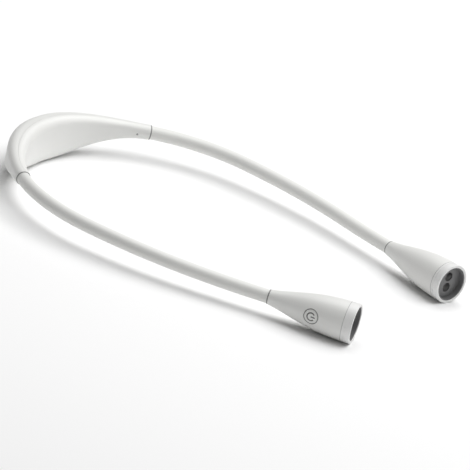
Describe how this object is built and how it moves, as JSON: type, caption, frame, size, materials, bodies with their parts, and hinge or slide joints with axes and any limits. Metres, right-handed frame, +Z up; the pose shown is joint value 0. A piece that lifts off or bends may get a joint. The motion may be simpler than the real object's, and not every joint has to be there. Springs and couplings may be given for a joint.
{
  "type": "reading light",
  "caption": "Hands-free reading light worn round the neck: a crescent battery housing with flexible arms that carry flared, recessed lamp heads with push buttons.",
  "frame": {"origin": "middle of the bounding box at the surface the light lies on", "axes": "+X to the wearer's right, +Y forward from the neck housing to the heads, +Z up"},
  "size_m": [0.2234, 0.315, 0.0313],
  "materials": {
    "neck_white": "satin white moulded plastic",
    "head_white": "satin white moulded plastic",
    "bezel_white": "satin white moulded plastic",
    "button_white": "satin white moulded plastic with a grey mark",
    "sleeve_white": "smooth white silicone",
    "core_steel": "wound steel gooseneck",
    "lead_insulation": "wire insulation",
    "ferrule_steel": "crimped steel",
    "screw_steel": "zinc plated",
    "socket_steel": "rolled steel",
    "chip_black": "black moulded chip",
    "switch_black": "black moulded plastic",
    "board_green": "green circuit board",
    "led_board_black": "black circuit board",
    "led_yellow": "yellow phosphor",
    "spreader_aluminium": "bare aluminium",
    "panel_grey": "dark grey satin plastic",
    "lens_clear": "clear moulded lens",
    "cell_foil": "foil pouch",
    "foam_grey": "foam block",
    "charge_light_smoke": "smoked light window"
  },
  "bodies": {
    "neck": {"neck_outer_shell": "neck_white", "neck_inner_shell": "neck_white", "control_board": "board_green", "control_board_screws": "screw_steel", "board_chips": "chip_black", "charging_socket": "socket_steel", "charging_tongue": "chip_black", "battery_foam": "foam_grey", "charge_light": "charge_light_smoke", "right_battery_cell": "cell_foil", "left_battery_cell": "cell_foil", "right_neck_ferrule": "ferrule_steel", "left_neck_ferrule": "ferrule_steel"},
    "right_arm_root": {"right_arm_root_sleeve": "sleeve_white", "right_arm_root_core": "core_steel", "right_arm_root_leads": "lead_insulation"},
    "right_arm": {"right_arm_sleeve": "sleeve_white", "right_arm_core": "core_steel", "right_arm_leads": "lead_insulation"},
    "right_arm_tip": {"right_arm_tip_sleeve": "sleeve_white", "right_arm_tip_core": "core_steel", "right_arm_tip_leads": "lead_insulation"},
    "right_button": {"right_power_button": "button_white", "right_switch_plunger": "switch_black"},
    "right_head": {"right_head_shell": "head_white", "right_bezel_ring": "bezel_white", "right_front_panel": "panel_grey", "right_upper_lens": "lens_clear", "right_lower_lens": "lens_clear", "right_led_board": "led_board_black", "right_heat_spreader": "spreader_aluminium", "right_led_chips": "led_yellow", "right_led_board_screws": "screw_steel", "right_head_ferrule": "ferrule_steel", "right_switch_body": "switch_black", "right_switch_board": "board_green"},
    "left_arm_root": {"left_arm_root_sleeve": "sleeve_white", "left_arm_root_core": "core_steel", "left_arm_root_leads": "lead_insulation"},
    "left_arm": {"left_arm_sleeve": "sleeve_white", "left_arm_core": "core_steel", "left_arm_leads": "lead_insulation"},
    "left_arm_tip": {"left_arm_tip_sleeve": "sleeve_white", "left_arm_tip_core": "core_steel", "left_arm_tip_leads": "lead_insulation"},
    "left_button": {"left_power_button": "button_white", "left_switch_plunger": "switch_black"},
    "left_head": {"left_head_shell": "head_white", "left_bezel_ring": "bezel_white", "left_front_panel": "panel_grey", "left_upper_lens": "lens_clear", "left_lower_lens": "lens_clear", "left_led_board": "led_board_black", "left_heat_spreader": "spreader_aluminium", "left_led_chips": "led_yellow", "left_led_board_screws": "screw_steel", "left_head_ferrule": "ferrule_steel", "left_switch_body": "switch_black", "left_switch_board": "board_green"}
  },
  "joints": [
    {"name": "right_arm_spread", "type": "hinge", "parent": "neck", "child": "right_arm_root", "pos_m": [0.0907, -0.09795, 0.01912], "axis": [0, -0.0349, -0.9994], "range_deg": [-20, 40], "deforming": ["right_arm_root_sleeve", "right_arm_root_core", "right_arm_root_leads"]},
    {"name": "right_arm_lift", "type": "hinge", "parent": "right_arm_root", "child": "right_arm", "pos_m": [0.1017, -0.07447, 0.0183], "axis": [0.9504, -0.3108, 0.0109], "range_deg": [-40, 50], "deforming": ["right_arm_root_sleeve", "right_arm_root_core", "right_arm_root_leads"]},
    {"name": "right_head_turn", "type": "hinge", "parent": "right_arm", "child": "right_arm_tip", "pos_m": [0.09261, 0.0568, 0.01375], "axis": [0, 0.0349, 0.9994], "range_deg": [-30, 60], "deforming": ["right_arm_tip_sleeve", "right_arm_tip_core", "right_arm_tip_leads"]},
    {"name": "right_head_tilt", "type": "hinge", "parent": "right_arm_tip", "child": "right_head", "pos_m": [0.08571, 0.08186, 0.01338], "axis": [0.9641, 0.2654, -0.0093], "range_deg": [-50, 50], "deforming": ["right_arm_tip_sleeve", "right_arm_tip_core", "right_arm_tip_leads"]},
    {"name": "right_button_press", "type": "slide", "parent": "right_head", "child": "right_button", "axis": [-0.9641, -0.2654, 0.0093], "range_m": [0, 0.0006], "stiffness_N_per_m": 1500},
    {"name": "left_arm_spread", "type": "hinge", "parent": "neck", "child": "left_arm_root", "pos_m": [-0.0907, -0.09795, 0.01912], "axis": [0, 0.0349, 0.9994], "range_deg": [-20, 40], "deforming": ["left_arm_root_sleeve", "left_arm_root_core", "left_arm_root_leads"]},
    {"name": "left_arm_lift", "type": "hinge", "parent": "left_arm_root", "child": "left_arm", "pos_m": [-0.1017, -0.07447, 0.0183], "axis": [0.9504, 0.3108, -0.0109], "range_deg": [-40, 50], "deforming": ["left_arm_root_sleeve", "left_arm_root_core", "left_arm_root_leads"]},
    {"name": "left_head_turn", "type": "hinge", "parent": "left_arm", "child": "left_arm_tip", "pos_m": [-0.09261, 0.0568, 0.01375], "axis": [0, -0.0349, -0.9994], "range_deg": [-30, 60], "deforming": ["left_arm_tip_sleeve", "left_arm_tip_core", "left_arm_tip_leads"]},
    {"name": "left_head_tilt", "type": "hinge", "parent": "left_arm_tip", "child": "left_head", "pos_m": [-0.08571, 0.08186, 0.01338], "axis": [0.9641, -0.2654, 0.0093], "range_deg": [-50, 50], "deforming": ["left_arm_tip_sleeve", "left_arm_tip_core", "left_arm_tip_leads"]},
    {"name": "left_button_press", "type": "slide", "parent": "left_head", "child": "left_button", "axis": [0.9641, -0.2654, 0.0093], "range_m": [0, 0.0006], "stiffness_N_per_m": 1500}
  ]
}
